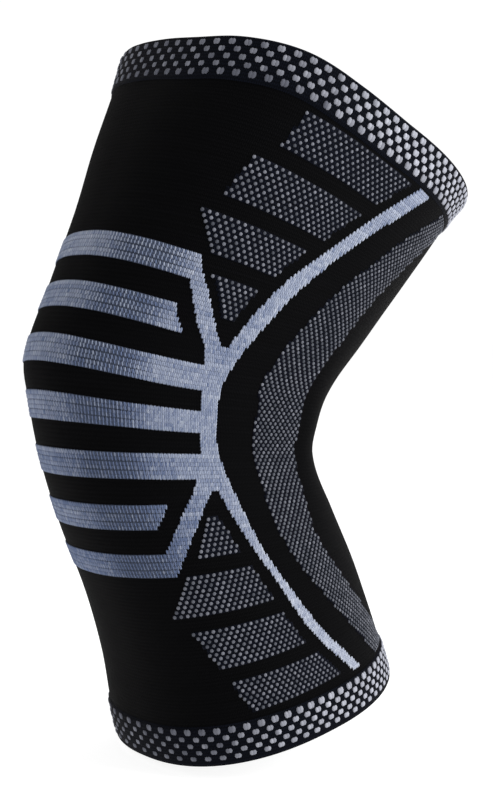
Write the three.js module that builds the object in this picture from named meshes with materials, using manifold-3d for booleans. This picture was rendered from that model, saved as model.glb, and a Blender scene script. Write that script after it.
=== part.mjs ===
// Knitted knee sleeve in its worn, bent form: a hollow knit tube with a thick welt at each end
// and zones of other yarn set into its face. Millimetres, +Z up, the kneecap toward -Y.
// The origin is the middle of the knee, inside the sleeve.
import * as THREE from 'three'
import { mergeVertices } from 'three/addons/utils/BufferGeometryUtils.js'
import Module from 'manifold-3d'

const wasm = await Module()
wasm.setup()

// The worn bend. Reaches run from the knee to each rim along the centre line.
const THIGH_REACH = 137
const CALF_REACH = 135
const THIGH_LEAN = 26.4 // degrees, how far the thigh leans back from upright
const CALF_LEAN = 15.4
const BEND_LENGTH = 290 // stretch of the centre line over which it bends

// Outer sizes of the knit. Fronts and backs are measured from the centre line.
const KNEE_WIDTH = 112
const KNEE_FRONT = 98
const KNEE_BACK = 25
const THIGH_WIDTH = 162
const THIGH_FRONT = 86.5
const THIGH_BACK = 81.5
const CALF_WIDTH = 123
const CALF_FRONT = 65
const CALF_BACK = 62.5

// How square each section is: 2 is an ellipse, more is fuller at the corners.
const KNEE_SQUARENESS = 2.2
const THIGH_SQUARENESS = 2.7
const CALF_SQUARENESS = 2.4
const BACK_SQUARENESS = 2.05

// Cloth
const WALL = 2.6
const CUFF_WALL = 3.2
const UPPER_CUFF_HEIGHT = 19
const LOWER_CUFF_HEIGHT = 18
const CUFF_EDGE_ROUND = 1.2
const ZONE_THICKNESS = 1.2
const ZONE_PROUD = 0.4 // how far a zone of other yarn stands out of the tube
const CLEARANCE = 0.3

// Pattern
const STRIPE_PITCH = 0.13 // share of the reach
const STRIPE_HEIGHT = 0.065 // share of the reach
const JOINED_STRIPES = [-3, -1, 0, 1, 3] // counted from the middle stripe, up the thigh
const FREE_STRIPES = { free_stripe_upper: 2, free_stripe_lower: -2 }
const FREE_STRIPE_GAP = 8 // from the end of a free stripe to the frame's arm
const PANEL_GAP = 7.5 // from a dotted panel to the side line
const NOTCH_UPPER = 0.18 // where the arm and the side line part, share of the reach
const NOTCH_LOWER = -0.19

// Fineness of the facets
const AROUND_STEPS = 44
const TUBE_STEPS = 20
const LINING_STEPS = 10 // the tube's inner face has fewer
const CRESCENT_STEPS = { along: 14, around: 2 }
const PANEL_STEPS = { along: 2, around: 3 }
const STRIPE_STEPS = { along: 1, around: 10 }
const LINE_BENDS = [-0.76, -0.66, -0.54, -0.27, 0.27, 0.49, 0.56, 0.69] // rows that round the side line
const RING_SAMPLES = 180
const CENTRE_STEPS = 60

// Sections between the knee and each rim. "along" is a share of the reach. The other columns go
// from 0 at the knee's own size to 1 at the rim's, and pass either where the worn form does.
const THIGH_SECTIONS = [
  { along: 0.1, width: 0.08, front: -0.34, back: 0.08 },
  { along: 0.3, width: 0.3, front: 0.42, back: 0.39 },
  { along: 0.5, width: 0.5, front: 0.92, back: 0.61 },
  { along: 0.7, width: 0.72, front: 1.02, back: 0.77 },
  { along: 0.9, width: 0.93, front: 1.1, back: 0.9 },
  { along: 1, width: 1, front: 1, back: 1 }
]
const CALF_SECTIONS = [
  { along: -1, width: 1, front: 1, back: 1 },
  { along: -0.9, width: 1.03, front: 1, back: 0.96 },
  { along: -0.7, width: 0.78, front: 1.02, back: 0.86 },
  { along: -0.5, width: 0.5, front: 0.87, back: 0.69 },
  { along: -0.3, width: 0.08, front: 0.52, back: 0.39 },
  { along: -0.1, width: -0.3, front: 0.15, back: -0.02 }
]

// Edges of the yarn zones on one side. "along" is a share of the reach, and the edges are shares
// of the half ring: 0 at the kneecap, 1 at the back of the knee.
const SIDE_LINE = [
  { along: -0.85, front: 0.59, back: 0.617 },
  { along: -0.66, front: 0.501, back: 0.53 },
  { along: -0.42, front: 0.445, back: 0.466 },
  { along: -0.19, front: 0.405, back: 0.439 },
  { along: 0, front: 0.409, back: 0.426 },
  { along: 0.18, front: 0.408, back: 0.443 },
  { along: 0.36, front: 0.438, back: 0.478 },
  { along: 0.56, front: 0.506, back: 0.54 },
  { along: 0.83, front: 0.6, back: 0.636 }
]
const ARM = [
  { along: -0.4225, front: 0.19, back: 0.24 },
  { along: -0.3575, front: 0.236, back: 0.281 },
  { along: -0.24, front: 0.313, back: 0.356 },
  { along: -0.19, front: 0.35, back: 0.394 },
  { along: -0.0975, front: 0.391, back: 0.4 },
  { along: 0.0975, front: 0.391, back: 0.4 },
  { along: 0.18, front: 0.36, back: 0.397 },
  { along: 0.24, front: 0.318, back: 0.355 },
  { along: 0.3575, front: 0.26, back: 0.289 },
  { along: 0.4225, front: 0.215, back: 0.262 }
]
const CRESCENT = [
  { along: -0.85, front: 0.695, back: 0.8 },
  { along: -0.7, front: 0.622, back: 0.722 },
  { along: -0.5, front: 0.545, back: 0.64 },
  { along: -0.35, front: 0.515, back: 0.611 },
  { along: -0.2, front: 0.515, back: 0.625 },
  { along: 0, front: 0.521, back: 0.64 },
  { along: 0.2, front: 0.524, back: 0.64 },
  { along: 0.4, front: 0.556, back: 0.658 },
  { along: 0.55, front: 0.6, back: 0.69 },
  { along: 0.7, front: 0.65, back: 0.735 },
  { along: 0.84, front: 0.712, back: 0.8 }
]
// Dotted panels in front of the side line, which sets their back edges. A tip is a narrow end.
const PANELS = [
  { name: 'panel_thigh_1', low: 0.73, high: 0.84, frontLow: 0.325, frontHigh: 0.338 },
  { name: 'panel_thigh_2', low: 0.555, high: 0.67, frontLow: 0.267, frontHigh: 0.29 },
  { name: 'panel_thigh_3', low: 0.41, high: 0.503, frontLow: 0.291, frontHigh: 0.246 },
  { name: 'panel_thigh_4', low: 0.26, high: 0.347, frontLow: 0.37, frontHigh: 0.322 },
  { name: 'panel_calf_1', low: -0.367, high: -0.27, frontLow: 0.305, frontHigh: 0.366 },
  { name: 'panel_calf_2', low: -0.526, high: -0.422, frontLow: 0.206, frontHigh: 0.268 },
  { name: 'panel_calf_3', low: -0.689, high: -0.581, frontLow: 0.27, frontHigh: 0.232 },
  { name: 'panel_calf_4', low: -0.837, high: -0.744, frontLow: 0.318, frontHigh: 0.288 }
]
const PANEL_TIP = 1.5 // narrowest end of a panel

const blackKnit = new THREE.MeshStandardMaterial({ color: '#121319', roughness: 0.92, metalness: 0 })
const cuffKnit = new THREE.MeshStandardMaterial({ color: '#3a3d49', roughness: 0.92, metalness: 0 })
const lightYarn = new THREE.MeshStandardMaterial({ color: '#98a3ba', roughness: 0.85, metalness: 0 })
const dottedKnit = new THREE.MeshStandardMaterial({ color: '#4b505e', roughness: 0.9, metalness: 0 })

// Smooth value of one column of a table between its rows.
function smoothColumn(rows, along, column) {
  const last = rows.length - 1
  let i = 0
  while (i < last - 1 && rows[i + 1].along < along) i += 1
  const slopeAt = (k) => {
    const before = rows[Math.max(k - 1, 0)]
    const after = rows[Math.min(k + 1, last)]
    return (after[column] - before[column]) / (after.along - before.along)
  }
  const span = rows[i + 1].along - rows[i].along
  const t = (along - rows[i].along) / span
  const start = (1 + 2 * t) * (1 - t) ** 2 * rows[i][column] + t * (1 - t) ** 2 * span * slopeAt(i)
  const end = t * t * (3 - 2 * t) * rows[i + 1][column] + t * t * (t - 1) * span * slopeAt(i + 1)
  return start + end
}

function straightColumn(rows, along, column) {
  let i = 0
  while (i < rows.length - 2 && rows[i + 1].along < along) i += 1
  const t = (along - rows[i].along) / (rows[i + 1].along - rows[i].along)
  return rows[i][column] + t * (rows[i + 1][column] - rows[i][column])
}

const reachOf = (share) => (share < 0 ? CALF_REACH : THIGH_REACH)

// Lean of the centre line, in radians from upright toward the back, at a length along it.
function lean(length) {
  const t = Math.min(Math.max(length / BEND_LENGTH + 0.5, 0), 1)
  const turn = t * t * (3 - 2 * t)
  return THREE.MathUtils.degToRad(turn * (THIGH_LEAN + CALF_LEAN) - CALF_LEAN)
}

// Point of the centre line, summed from the knee. The knee's middle is the origin.
function centre(length) {
  const step = length / CENTRE_STEPS
  let y = (KNEE_FRONT - KNEE_BACK) / 2
  let z = 0
  for (let i = 0; i < CENTRE_STEPS; i += 1) {
    const angle = lean((i + 0.5) * step)
    y += Math.sin(angle) * step
    z += Math.cos(angle) * step
  }
  return { y, z }
}

// All section rows with their real sizes, calf rim to thigh rim.
function sizedSections() {
  const knee = { width: KNEE_WIDTH, front: KNEE_FRONT, back: KNEE_BACK, squareness: KNEE_SQUARENESS }
  const thigh = { width: THIGH_WIDTH, front: THIGH_FRONT, back: THIGH_BACK, squareness: THIGH_SQUARENESS }
  const calf = { width: CALF_WIDTH, front: CALF_FRONT, back: CALF_BACK, squareness: CALF_SQUARENESS }
  const sized = (row, rim) => {
    const blend = (column, share) => knee[column] + share * (rim[column] - knee[column])
    return {
      along: row.along,
      width: blend('width', row.width),
      front: blend('front', row.front),
      back: blend('back', row.back),
      squareness: blend('squareness', Math.abs(row.along))
    }
  }
  return [
    ...CALF_SECTIONS.map((row) => sized(row, calf)),
    { along: 0, ...knee },
    ...THIGH_SECTIONS.map((row) => sized(row, thigh))
  ]
}

const SECTIONS = sizedSections()

// One ring of the tube, square to the centre line. It gives points by their share of the half
// ring (minus on the -X side) and by their lift out of the knit's outer face.
function makeRing(share) {
  const size = (column) => smoothColumn(SECTIONS, share, column)
  const half = size('width') / 2
  const samples = []
  for (let i = 0; i <= RING_SAMPLES; i += 1) {
    const angle = (Math.PI * i) / RING_SAMPLES
    const facesFront = i <= RING_SAMPLES / 2
    const power = 2 / (facesFront ? size('squareness') : BACK_SQUARENESS)
    const side = half * Math.abs(Math.sin(angle)) ** power
    const depth = Math.abs(Math.cos(angle)) ** power
    samples.push({ side, depth: facesFront ? -size('front') * depth : size('back') * depth })
  }
  const lengths = [0]
  for (let i = 1; i < samples.length; i += 1) {
    const step = Math.hypot(samples[i].side - samples[i - 1].side, samples[i].depth - samples[i - 1].depth)
    lengths.push(lengths[i - 1] + step)
  }
  const halfLength = lengths[RING_SAMPLES]
  const middle = centre(share * reachOf(share))
  const angle = lean(share * reachOf(share))

  function outline(around) {
    const wanted = Math.min(Math.abs(around), 1) * halfLength
    let i = 0
    while (i < RING_SAMPLES - 1 && lengths[i + 1] < wanted) i += 1
    const t = (wanted - lengths[i]) / (lengths[i + 1] - lengths[i])
    return {
      side: samples[i].side + t * (samples[i + 1].side - samples[i].side),
      depth: samples[i].depth + t * (samples[i + 1].depth - samples[i].depth)
    }
  }

  function point(around, lift) {
    const sign = around < 0 ? -1 : 1
    const here = outline(around)
    const nudge = 0.01
    const before = outline(Math.max(Math.abs(around) - nudge, 0))
    const after = outline(Math.min(Math.abs(around) + nudge, 1))
    const run = Math.hypot(after.side - before.side, after.depth - before.depth)
    const onSeam = Math.abs(around) === 0 || Math.abs(around) === 1
    const outSide = onSeam ? 0 : (after.depth - before.depth) / run
    const outDepth = onSeam ? Math.sign(here.depth) : -(after.side - before.side) / run
    const side = here.side + lift * outSide
    const depth = here.depth + lift * outDepth
    return new THREE.Vector3(
      sign * side,
      middle.y + depth * Math.cos(angle),
      middle.z - depth * Math.sin(angle)
    )
  }
  return { point, halfLength }
}

const rings = new Map()
function ringAt(share) {
  if (!rings.has(share)) rings.set(share, makeRing(share))
  return rings.get(share)
}

// Share of the half ring that a length in mm takes.
const aroundShare = (share, length) => length / ringAt(share).halfLength
// Share of the reach that a length in mm takes.
const alongShare = (share, length) => length / reachOf(share)

function meshGeometry(points, triangles) {
  const geometry = new THREE.BufferGeometry()
  const flat = points.flatMap((p) => [p.x, p.y, p.z])
  geometry.setAttribute('position', new THREE.Float32BufferAttribute(flat, 3))
  geometry.setIndex(triangles)
  return geometry
}

// A piece that runs all round the sleeve: a closed profile of { along, lift } points, counted up the
// outer face and down the inner one, carried round the rings.
function roundPiece(profile) {
  const points = []
  const triangles = []
  const index = (row, column) => (row % profile.length) * AROUND_STEPS + (column % AROUND_STEPS)
  for (const { along, lift } of profile) {
    for (let column = 0; column < AROUND_STEPS; column += 1) {
      const around = (2 * column) / AROUND_STEPS - 1
      points.push(ringAt(along).point(around, lift))
    }
  }
  for (let row = 0; row < profile.length; row += 1) {
    for (let column = 0; column < AROUND_STEPS; column += 1) {
      const a = index(row, column)
      const b = index(row, column + 1)
      const c = index(row + 1, column + 1)
      const d = index(row + 1, column)
      triangles.push(a, b, c, a, c, d)
    }
  }
  return meshGeometry(points, triangles)
}

// A piece set into the tube's face: rows of { along, arounds } with as many columns each, knitted
// only in the cells that isKnit names, between two lifts.
function facePiece(rows, isKnit, inner, outer) {
  const columns = rows[0].arounds.length
  const points = []
  for (const lift of [inner, outer]) {
    for (const { along, arounds } of rows) {
      for (const around of arounds) points.push(ringAt(along).point(around, lift))
    }
  }
  const at = (row, column, face) => (face * rows.length + row) * columns + column
  const inside = (row, column) =>
    row >= 0 && column >= 0 && row < rows.length - 1 && column < columns - 1 && isKnit(row, column)
  const triangles = []
  const quad = (a, b, c, d) => triangles.push(a, b, c, a, c, d)
  const wall = (from, to) => quad(at(...from, 0), at(...to, 0), at(...to, 1), at(...from, 1))
  for (let row = 0; row < rows.length - 1; row += 1) {
    for (let column = 0; column < columns - 1; column += 1) {
      if (!inside(row, column)) continue
      const corners = [[row, column], [row, column + 1], [row + 1, column + 1], [row + 1, column]]
      quad(...corners.map(([r, c]) => at(r, c, 1)))
      quad(...corners.toReversed().map(([r, c]) => at(r, c, 0)))
      if (!inside(row - 1, column)) wall(corners[0], corners[1])
      if (!inside(row, column + 1)) wall(corners[1], corners[2])
      if (!inside(row + 1, column)) wall(corners[2], corners[3])
      if (!inside(row, column - 1)) wall(corners[3], corners[0])
    }
  }
  return meshGeometry(points, triangles)
}

// Evenly spaced values from one to the other, both included.
function spaced(from, to, steps) {
  return Array.from({ length: steps + 1 }, (_, i) => from + ((to - from) * i) / steps)
}

// A zone as a maker of its geometry: grow is the room added at its edges, for its pocket.
function bandZone(edgesAt, low, high, steps, side) {
  return (grow, inner, outer) => {
    const from = low - alongShare(low, grow)
    const to = high + alongShare(high, grow)
    const rows = spaced(from, to, steps.along).map((along) => {
      const { front, back } = edgesAt(Math.min(Math.max(along, low), high))
      const room = aroundShare(along, grow)
      const ends = side > 0 ? [front - room, back + room] : [-back - room, room - front]
      return { along, arounds: spaced(...ends, steps.around) }
    })
    return facePiece(rows, () => true, inner, outer)
  }
}

function crescentZone(side) {
  const edgesAt = (along) => ({
    front: smoothColumn(CRESCENT, along, 'front'),
    back: smoothColumn(CRESCENT, along, 'back')
  })
  return bandZone(edgesAt, CRESCENT[0].along, CRESCENT.at(-1).along, CRESCENT_STEPS, side)
}

function panelZone(panel, side) {
  const edgesAt = (along) => {
    const t = (along - panel.low) / (panel.high - panel.low)
    const front = panel.frontLow + t * (panel.frontHigh - panel.frontLow)
    const back = smoothColumn(SIDE_LINE, along, 'front') - aroundShare(along, PANEL_GAP)
    return { front, back: Math.max(back, front + aroundShare(along, PANEL_TIP)) }
  }
  return bandZone(edgesAt, panel.low, panel.high, PANEL_STEPS, side)
}

// The middle stripe is number 0, and the stripes above it count up.
const stripeLow = (number) => number * STRIPE_PITCH - STRIPE_HEIGHT / 2
const stripeHigh = (number) => number * STRIPE_PITCH + STRIPE_HEIGHT / 2

// A stripe whose two ends stand free, parallel to the frame's arms.
function freeStripeZone(number) {
  const edgesAt = (along) => {
    const end = straightColumn(ARM, along, 'front') - aroundShare(along, FREE_STRIPE_GAP)
    return { front: -end, back: end }
  }
  return bandZone(edgesAt, stripeLow(number), stripeHigh(number), STRIPE_STEPS, 1)
}

// The light yarn frame: joined stripes across the kneecap, an arm at each end of the top and
// bottom ones, and a line on each side from the thigh to the calf that the arms run into.
function frameZone(grow, inner, outer) {
  const stripeRows = JOINED_STRIPES.flatMap((number) => [
    { along: stripeLow(number), grow: -1 },
    { along: stripeHigh(number), grow: 1 }
  ])
  const frameLow = stripeLow(JOINED_STRIPES[0])
  const frameHigh = stripeHigh(JOINED_STRIPES.at(-1))
  const lineRows = [
    { along: SIDE_LINE[0].along, grow: -1 },
    { along: NOTCH_LOWER, grow: -1 },
    ...LINE_BENDS.map((along) => ({ along, grow: 0 })),
    { along: NOTCH_UPPER, grow: 1 },
    { along: SIDE_LINE.at(-1).along, grow: 1 }
  ]
  const plan = [...stripeRows, ...lineRows].sort((a, b) => a.along - b.along)
  const rows = plan.map((row) => {
    const held = Math.min(Math.max(row.along, frameLow), frameHigh)
    const room = aroundShare(row.along, grow)
    const back = smoothColumn(SIDE_LINE, row.along, 'back') + room
    const front = smoothColumn(SIDE_LINE, row.along, 'front') - room
    const armBack = straightColumn(ARM, held, 'back') + room
    const armFront = straightColumn(ARM, held, 'front') - room
    const middle = spaced(-armFront, armFront, STRIPE_STEPS.around)
    const right = [armBack, front, back]
    return {
      along: row.along + row.grow * alongShare(row.along, grow),
      arounds: [...right.toReversed().map((around) => -around), ...middle, ...right]
    }
  })
  const last = rows[0].arounds.length - 2
  const between = (row, low, high) => plan[row].along >= low && plan[row + 1].along <= high
  const isKnit = (row, column) => {
    const fromSide = Math.min(column, last - column)
    if (fromSide === 0) return true
    if (fromSide === 1) return between(row, NOTCH_LOWER, NOTCH_UPPER)
    if (fromSide === 2) return between(row, frameLow, frameHigh)
    return JOINED_STRIPES.some((number) => between(row, stripeLow(number), stripeHigh(number)))
  }
  return facePiece(rows, isKnit, inner, outer)
}

// All zones of other yarn, by name, with their material.
function yarnZones() {
  const zones = [{ name: 'kneecap_frame', zone: frameZone, material: lightYarn }]
  for (const [name, number] of Object.entries(FREE_STRIPES)) {
    zones.push({ name, zone: freeStripeZone(number), material: lightYarn })
  }
  for (const [sideName, side] of [['left', 1], ['right', -1]]) {
    for (const panel of PANELS) {
      const name = `${panel.name}_${sideName}`
      zones.push({ name, zone: panelZone(panel, side), material: dottedKnit })
    }
    const name = `crescent_${sideName}`
    zones.push({ name, zone: crescentZone(side), material: dottedKnit })
  }
  return zones
}

function toSolid(geometry) {
  const merged = mergeVertices(geometry)
  return new wasm.Manifold(new wasm.Mesh({
    numProp: 3,
    vertProperties: new Float32Array(merged.attributes.position.array),
    triVerts: new Uint32Array(merged.index.array)
  }))
}

function toGeometry(solid) {
  const { vertProperties, triVerts } = solid.getMesh()
  const geometry = new THREE.BufferGeometry()
  geometry.setAttribute('position', new THREE.Float32BufferAttribute(vertProperties, 3))
  geometry.setIndex(Array.from(triVerts))
  return geometry
}

const tubeLow = LOWER_CUFF_HEIGHT / CALF_REACH - 1
const tubeHigh = 1 - UPPER_CUFF_HEIGHT / THIGH_REACH

// The knit tube between the cuffs, with a pocket for each zone.
function knitTube(zones) {
  const low = tubeLow + alongShare(tubeLow, CLEARANCE)
  const high = tubeHigh - alongShare(tubeHigh, CLEARANCE)
  const outside = spaced(low, high, TUBE_STEPS).map((along) => ({ along, lift: 0 }))
  const inside = spaced(high, low, LINING_STEPS).map((along) => ({ along, lift: -WALL }))
  let tube = toSolid(roundPiece([...outside, ...inside]))
  const pocketFloor = ZONE_PROUD - ZONE_THICKNESS - CLEARANCE
  const pocketTop = ZONE_THICKNESS
  for (const { zone } of zones) {
    tube = tube.subtract(toSolid(zone(CLEARANCE, pocketFloor, pocketTop)))
  }
  return toGeometry(tube)
}

// A cuff: a doubled welt with rounded edges, flush with the tube inside and proud of it outside.
function cuff(low, high) {
  const outer = CUFF_WALL - WALL
  const lowEdge = low + alongShare(low, CUFF_EDGE_ROUND)
  const highEdge = high - alongShare(high, CUFF_EDGE_ROUND)
  return roundPiece([
    { along: low, lift: outer - CUFF_EDGE_ROUND },
    { along: lowEdge, lift: outer },
    { along: (low + high) / 2, lift: outer },
    { along: highEdge, lift: outer },
    { along: high, lift: outer - CUFF_EDGE_ROUND },
    { along: high, lift: CUFF_EDGE_ROUND - WALL },
    { along: highEdge, lift: -WALL },
    { along: (low + high) / 2, lift: -WALL },
    { along: lowEdge, lift: -WALL },
    { along: low, lift: CUFF_EDGE_ROUND - WALL }
  ])
}

function addMesh(group, name, geometry, material) {
  const mesh = new THREE.Mesh(geometry, material)
  mesh.name = name
  group.add(mesh)
}

const sleeve = new THREE.Group()
const zones = yarnZones()
addMesh(sleeve, 'knit_tube', knitTube(zones), blackKnit)
addMesh(sleeve, 'upper_cuff', cuff(tubeHigh, 1), cuffKnit)
addMesh(sleeve, 'lower_cuff', cuff(-1, tubeLow), cuffKnit)
for (const { name, zone, material } of zones) {
  addMesh(sleeve, name, zone(0, ZONE_PROUD - ZONE_THICKNESS, ZONE_PROUD), material)
}

export default sleeve
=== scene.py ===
import math

import bpy
import numpy as np
from mathutils import Matrix, Vector


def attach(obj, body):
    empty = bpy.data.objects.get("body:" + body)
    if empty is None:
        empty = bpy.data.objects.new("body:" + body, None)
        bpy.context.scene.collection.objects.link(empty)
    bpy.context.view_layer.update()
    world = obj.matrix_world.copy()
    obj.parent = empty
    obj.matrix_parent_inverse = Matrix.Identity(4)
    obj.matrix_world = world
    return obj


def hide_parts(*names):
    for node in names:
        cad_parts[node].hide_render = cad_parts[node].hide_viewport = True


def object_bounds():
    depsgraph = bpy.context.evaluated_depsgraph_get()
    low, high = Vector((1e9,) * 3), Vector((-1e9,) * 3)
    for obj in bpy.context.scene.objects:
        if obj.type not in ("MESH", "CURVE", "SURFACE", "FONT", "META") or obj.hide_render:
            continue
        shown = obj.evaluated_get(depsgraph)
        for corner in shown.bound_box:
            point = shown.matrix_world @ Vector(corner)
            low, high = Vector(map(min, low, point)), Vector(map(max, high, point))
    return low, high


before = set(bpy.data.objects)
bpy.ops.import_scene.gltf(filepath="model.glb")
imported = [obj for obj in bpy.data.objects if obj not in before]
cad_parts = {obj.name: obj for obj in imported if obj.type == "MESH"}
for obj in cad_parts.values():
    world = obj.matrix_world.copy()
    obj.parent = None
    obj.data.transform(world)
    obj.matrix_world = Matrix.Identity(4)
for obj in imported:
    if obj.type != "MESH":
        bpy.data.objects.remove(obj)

cad_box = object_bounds()

# Camera
# Level with the bend, in front of the sleeve and well round to its left side, so that its front
# is at the left of the picture and neither opening shows. Sizes here and below are in metres.
CAMERA_AZIMUTH = math.radians(54.0)
CAMERA_ELEVATION = math.radians(3.4)
CAMERA_DISTANCE = 0.740
CAMERA_AIM = Vector((0.0, 0.0465, 0.007))
SENSOR_LONG_SIDE = 36.0
FOCAL_PIXELS = 1600.0
PICTURE_LONG_SIDE = 802.0

toward_camera = Vector((
    math.sin(CAMERA_AZIMUTH) * math.cos(CAMERA_ELEVATION),
    -math.cos(CAMERA_AZIMUTH) * math.cos(CAMERA_ELEVATION),
    math.sin(CAMERA_ELEVATION),
))
picture_right = Vector((math.cos(CAMERA_AZIMUTH), math.sin(CAMERA_AZIMUTH), 0.0))
camera = bpy.data.objects.new("camera", bpy.data.cameras.new("camera"))
camera.data.sensor_width = SENSOR_LONG_SIDE
camera.data.lens = SENSOR_LONG_SIDE * FOCAL_PIXELS / PICTURE_LONG_SIDE
camera.data.clip_start = 0.01
camera.location = CAMERA_AIM + CAMERA_DISTANCE * toward_camera
camera.rotation_euler = (-toward_camera).to_track_quat("-Z", "Y").to_euler()
bpy.context.scene.collection.objects.link(camera)
bpy.context.scene.camera = camera


# Floor and light
# A plain white studio: a pale floor that runs out to a white surround, a large soft light on the
# right of the picture, and weaker ones from the left and from above.
def linear(hex_colour):
    """Linear RGBA of an sRGB colour written as #rrggbb."""
    channels = [int(hex_colour[i:i + 2], 16) / 255 for i in (1, 3, 5)]
    values = [c / 12.92 if c <= 0.04045 else ((c + 0.055) / 1.055) ** 2.4 for c in channels]
    return (*values, 1.0)


def add_node(tree, kind, settings=None, inputs=None):
    """Adds a node with its settings, and gives its inputs their values or links."""
    node = tree.nodes.new(kind)
    for name, value in (settings or {}).items():
        setattr(node, name, value)
    for name, value in (inputs or {}).items():
        if isinstance(value, bpy.types.NodeSocket):
            tree.links.new(value, node.inputs[name])
        else:
            node.inputs[name].default_value = value
    return node


def new_material(name):
    """An empty node material and its tree."""
    material = bpy.data.materials.new(name)
    material.use_nodes = True
    material.node_tree.nodes.clear()
    return material, material.node_tree


def link_mesh(name, mesh):
    """A new object at the origin with that mesh."""
    piece = bpy.data.objects.new(name, mesh)
    bpy.context.scene.collection.objects.link(piece)
    return piece


WHITE = linear("#ffffff")
FLOOR_DROP = 0.004
FLOOR_REACH = 30.0
FLOOR_COLOUR = "#a8a8a8"
FLOOR_GLOW = 0.85

floor_height = cad_box[0][2] - FLOOR_DROP
floor_corners = [
    (x * FLOOR_REACH, y * FLOOR_REACH, floor_height)
    for x, y in ((-1, -1), (1, -1), (1, 1), (-1, 1))
]
floor_mesh = bpy.data.meshes.new("floor")
floor_mesh.from_pydata(floor_corners, [], [(0, 1, 2, 3)])

# Matt white paint with a glow of its own, so the floor runs out to white with no horizon.
floor_paint, tree = new_material("white_studio_floor")
floor_shader = add_node(tree, "ShaderNodeBsdfPrincipled", None, {
    "Base Color": linear(FLOOR_COLOUR),
    "Roughness": 0.9,
    "Specular IOR Level": 0.1,
    "Emission Color": WHITE,
    "Emission Strength": FLOOR_GLOW,
})
add_node(tree, "ShaderNodeOutputMaterial", None, {"Surface": floor_shader.outputs["BSDF"]})
floor_mesh.materials.append(floor_paint)
floor = link_mesh("floor", floor_mesh)

SURROUND_LIGHT = 0.42
SURROUND_SEEN = 1.05
world = bpy.data.worlds.new("studio")
world.use_nodes = True
bpy.context.scene.world = world
tree = world.node_tree
tree.nodes.clear()
light_path = add_node(tree, "ShaderNodeLightPath")
lit = add_node(tree, "ShaderNodeBackground", None, {"Color": WHITE, "Strength": SURROUND_LIGHT})
seen = add_node(tree, "ShaderNodeBackground", None, {"Color": WHITE, "Strength": SURROUND_SEEN})
choice = add_node(tree, "ShaderNodeMixShader", None, {
    "Fac": light_path.outputs["Is Camera Ray"],
    1: lit.outputs["Background"],
    2: seen.outputs["Background"],
})
add_node(tree, "ShaderNodeOutputWorld", None, {"Surface": choice.outputs["Shader"]})
bpy.context.scene.view_settings.view_transform = "Standard"

UPWARD = Vector((0, 0, 1))
STUDIO_LIGHTS = [
    {"name": "key_light", "right": 1.25, "forward": 0.35, "up": 0.58, "size": 1.1, "watts": 25.5},
    {"name": "front_fill", "right": -0.9, "forward": 0.95, "up": 0.6, "size": 1.2, "watts": 3.5},
    {"name": "top_light", "right": 0.1, "forward": 0.1, "up": 1.4, "size": 1.0, "watts": 5.0},
]
for row in STUDIO_LIGHTS:
    lamp = bpy.data.lights.new(row["name"], "AREA")
    lamp.shape = "DISK"
    lamp.size = row["size"]
    lamp.energy = row["watts"]
    light = bpy.data.objects.new(row["name"], lamp)
    offset = row["right"] * picture_right + row["forward"] * toward_camera + row["up"] * UPWARD
    light.location = CAMERA_AIM + offset
    light.rotation_euler = (-offset).to_track_quat("-Z", "Y").to_euler()
    bpy.context.scene.collection.objects.link(light)


# Knit tube
# The body of the sleeve: one seamless tube of black nylon yarn over elastic, knitted in the round
# and worn stretched, so it lies smooth and tight. Its rows of stitches run round it.
THIGH_REACH = 0.137
CALF_REACH = 0.135
THIGH_LEAN = math.radians(26.4)
CALF_LEAN = math.radians(15.4)
BEND_LENGTH = 0.290
KNEE = {"width": 0.112, "front": 0.098, "back": 0.025, "squareness": 2.2}
THIGH = {"width": 0.162, "front": 0.0865, "back": 0.0815, "squareness": 2.7}
CALF = {"width": 0.123, "front": 0.065, "back": 0.0625, "squareness": 2.4}
BACK_SQUARENESS = 2.05
WALL = 0.0026
UPPER_CUFF_HEIGHT = 0.019
LOWER_CUFF_HEIGHT = 0.018
TUBE_UNDER_CUFF = 0.0015

# Sections of the sleeve. "along" is a share of the reach from the knee to each rim, and the other
# columns go from 0 at the knee's own size to 1 at the rim's.
SECTIONS = [
    {"along": -1.0, "width": 1.0, "front": 1.0, "back": 1.0},
    {"along": -0.9, "width": 1.03, "front": 1.0, "back": 0.96},
    {"along": -0.7, "width": 0.78, "front": 1.02, "back": 0.86},
    {"along": -0.5, "width": 0.5, "front": 0.87, "back": 0.69},
    {"along": -0.3, "width": 0.08, "front": 0.52, "back": 0.39},
    {"along": -0.1, "width": -0.3, "front": 0.15, "back": -0.02},
    {"along": 0.0, "width": 0.0, "front": 0.0, "back": 0.0},
    {"along": 0.1, "width": 0.08, "front": -0.34, "back": 0.08},
    {"along": 0.3, "width": 0.3, "front": 0.42, "back": 0.39},
    {"along": 0.5, "width": 0.5, "front": 0.92, "back": 0.61},
    {"along": 0.7, "width": 0.72, "front": 1.02, "back": 0.77},
    {"along": 0.9, "width": 0.93, "front": 1.1, "back": 0.9},
    {"along": 1.0, "width": 1.0, "front": 1.0, "back": 1.0},
]
SURFACE_ROWS = 801
SURFACE_COLUMNS = 601
RING_SAMPLES = 720
CENTRE_STEPS = 60

# Stitches are counted in wales, the columns that run along the sleeve, and courses, the rows
# round it. STRIPE_PITCH and COURSE are shares of the reach.
WALES_IN_HALF_RING = 135
STRIPE_PITCH = 0.13
COURSES_IN_STRIPE_PITCH = 12
COURSE = STRIPE_PITCH / COURSES_IN_STRIPE_PITCH


def smooth_step(value):
    """0 below 0, 1 above 1 and a smooth rise between."""
    t = np.clip(value, 0, 1)
    return t * t * (3 - 2 * t)


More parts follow.
